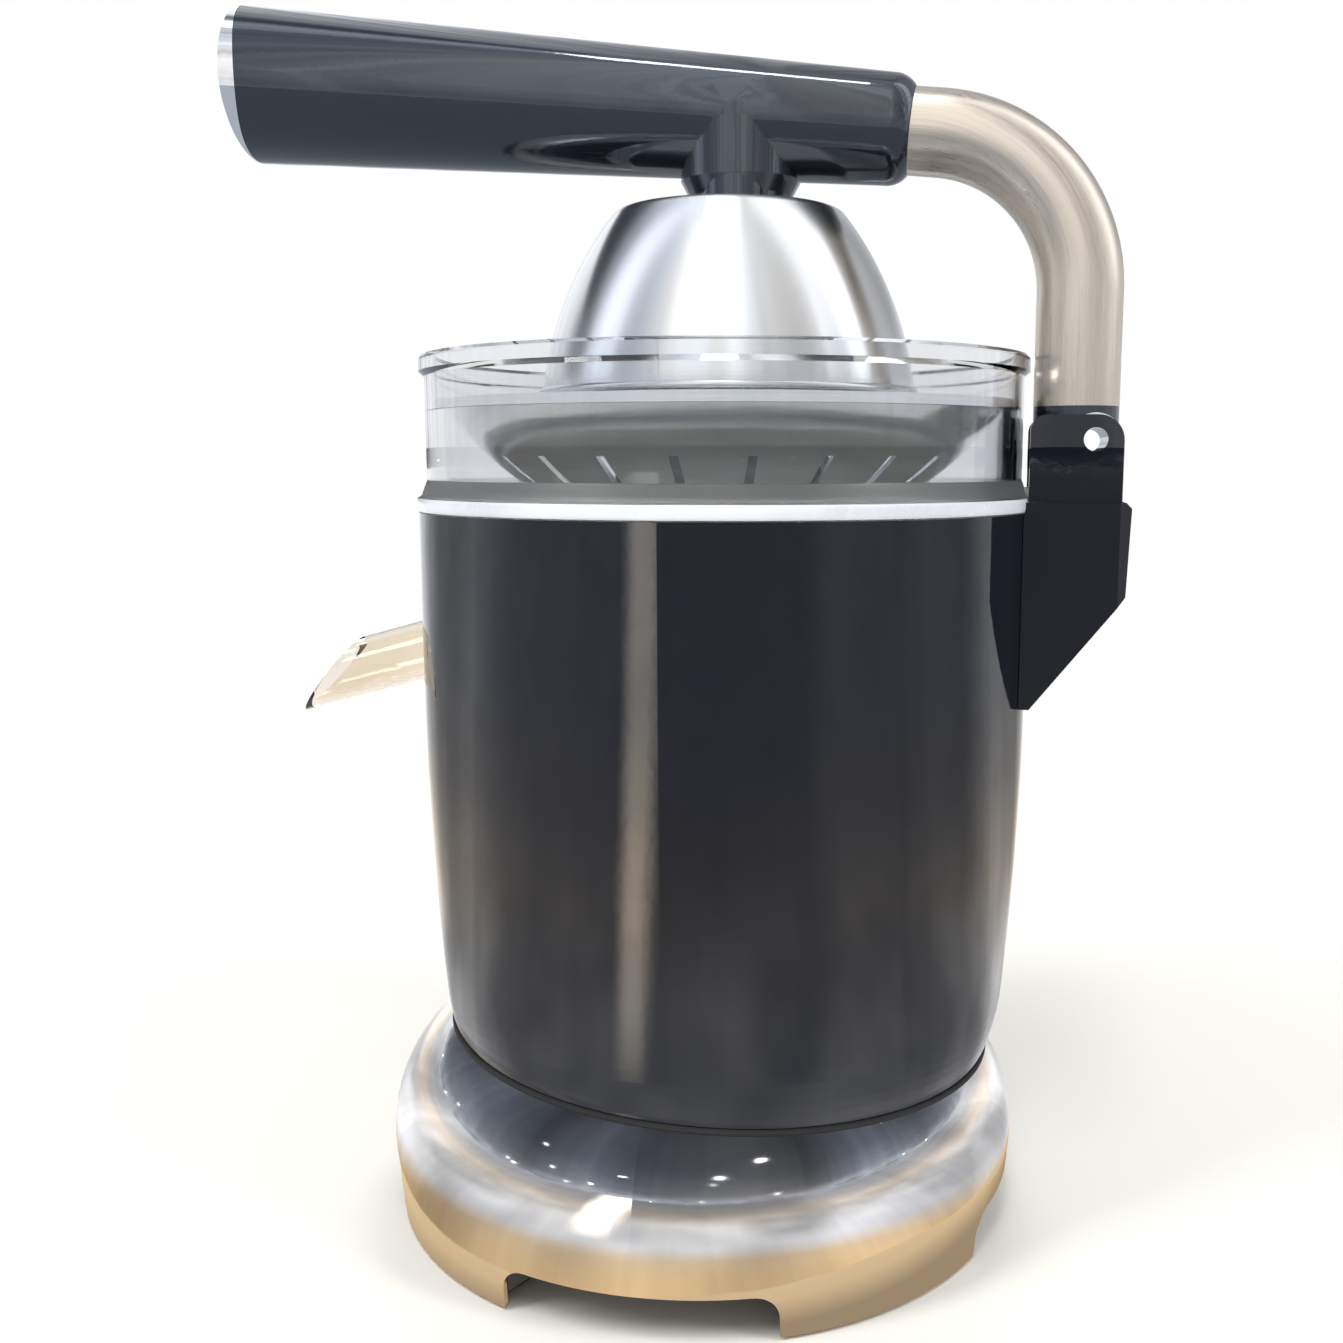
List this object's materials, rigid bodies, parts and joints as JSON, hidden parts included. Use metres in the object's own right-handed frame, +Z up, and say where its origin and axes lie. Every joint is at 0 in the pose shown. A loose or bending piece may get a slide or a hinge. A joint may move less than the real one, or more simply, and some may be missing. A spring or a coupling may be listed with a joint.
{
  "type": "electric citrus juicer",
  "caption": "Lever-press citrus juicer: drum body on a domed base with arched feet, clear bowl with strainer and reamer, spout, and a hinged arm carrying a pressing dome.",
  "frame": {"origin": "where the reamer's vertical axis meets the table, on the plane of the rubber pads", "axes": "+Z up, the spout and the handle's free end toward -Y, the hinge toward +Y, +X to the right of someone facing the hinge from the spout side"},
  "size_m": [0.1764, 0.2484, 0.333],
  "materials": {
    "polished_chrome": "mirror polished",
    "body_lacquer": "deep blue-black gloss",
    "gloss_black": "high gloss",
    "brushed_stainless": "brushed",
    "strainer_steel": "polished",
    "clear_plastic": "clear",
    "black_rubber": "matte",
    "bright_steel": "turned",
    "grey_plastic": "moulded",
    "nylon": "moulded",
    "reamer_plastic": "moulded",
    "switch_plastic": "moulded",
    "laminated_iron": "laminated",
    "die_cast": "cast",
    "bronze": "sintered",
    "copper_coil": "enamelled"
  },
  "bodies": {
    "housing": {"base_shell": "polished_chrome", "base_plate": "grey_plastic", "foot_pads": "black_rubber", "base_screws": "bright_steel", "cord_grommet": "black_rubber", "terminal_block": "nylon", "body_shell": "body_lacquer", "motor_deck": "grey_plastic", "deck_screws": "bright_steel", "gear_case": "grey_plastic", "case_screws": "bright_steel", "micro_switch": "switch_plastic", "idler_axle": "bright_steel", "motor_stator": "laminated_iron", "motor_windings": "copper_coil", "motor_lower_bell": "die_cast", "motor_upper_bell": "die_cast", "motor_bolts": "bright_steel", "motor_bushes": "bronze", "rear_bracket": "body_lacquer", "bracket_screws": "bright_steel", "hinge_pin": "body_lacquer", "juice_bowl": "clear_plastic", "juice_collector": "nylon", "spout": "clear_plastic", "spout_seal": "black_rubber", "shaft_seal": "black_rubber", "strainer": "strainer_steel", "return_spring": "bright_steel"},
    "lever": {"arm_tube": "brushed_stainless", "hinge_knuckle": "gloss_black", "hinge_bushes": "nylon", "knuckle_rivet": "bright_steel", "handle_grip": "gloss_black", "handle_end_cap": "polished_chrome", "neck_bush": "bright_steel", "press_dome": "brushed_stainless", "dome_screw": "bright_steel"},
    "press_carrier": {"press_sleeve": "nylon", "switch_finger": "nylon"},
    "drive": {"drive_shaft": "bright_steel", "output_gear": "nylon", "shaft_clip": "bright_steel", "reamer": "reamer_plastic", "drive_pin": "bright_steel"},
    "idler": {"idler_gear": "nylon"},
    "rotor": {"rotor_core": "laminated_iron", "motor_shaft": "bright_steel", "motor_pinion": "bronze"}
  },
  "joints": [
    {"name": "lever_hinge", "type": "hinge", "parent": "housing", "child": "lever", "pos_m": [0, 0.098, 0.2134], "axis": [-1, 0, 0], "range_deg": [0, 75]},
    {"name": "start_press", "type": "slide", "parent": "housing", "child": "press_carrier", "axis": [0, 0, 1], "range_m": [-0.002, 0], "stiffness_N_per_m": 4000, "springref_m": 0.0015, "deforming": ["return_spring"]},
    {"name": "reamer_spin", "type": "hinge", "parent": "press_carrier", "child": "drive", "pos_m": [0, 0, 0.2], "axis": [0, 0, 1], "continuous": true},
    {"name": "idler_spin", "type": "hinge", "parent": "housing", "child": "idler", "pos_m": [0.03, 0, 0.12], "axis": [0, 0, 1], "continuous": true},
    {"name": "rotor_spin", "type": "hinge", "parent": "housing", "child": "rotor", "pos_m": [0, 0, 0.09], "axis": [0, 0, 1], "continuous": true}
  ],
  "couplings": [
    {"joint": "idler_spin", "follows": "reamer_spin", "ratio": -3},
    {"joint": "rotor_spin", "follows": "reamer_spin", "ratio": 9}
  ]
}
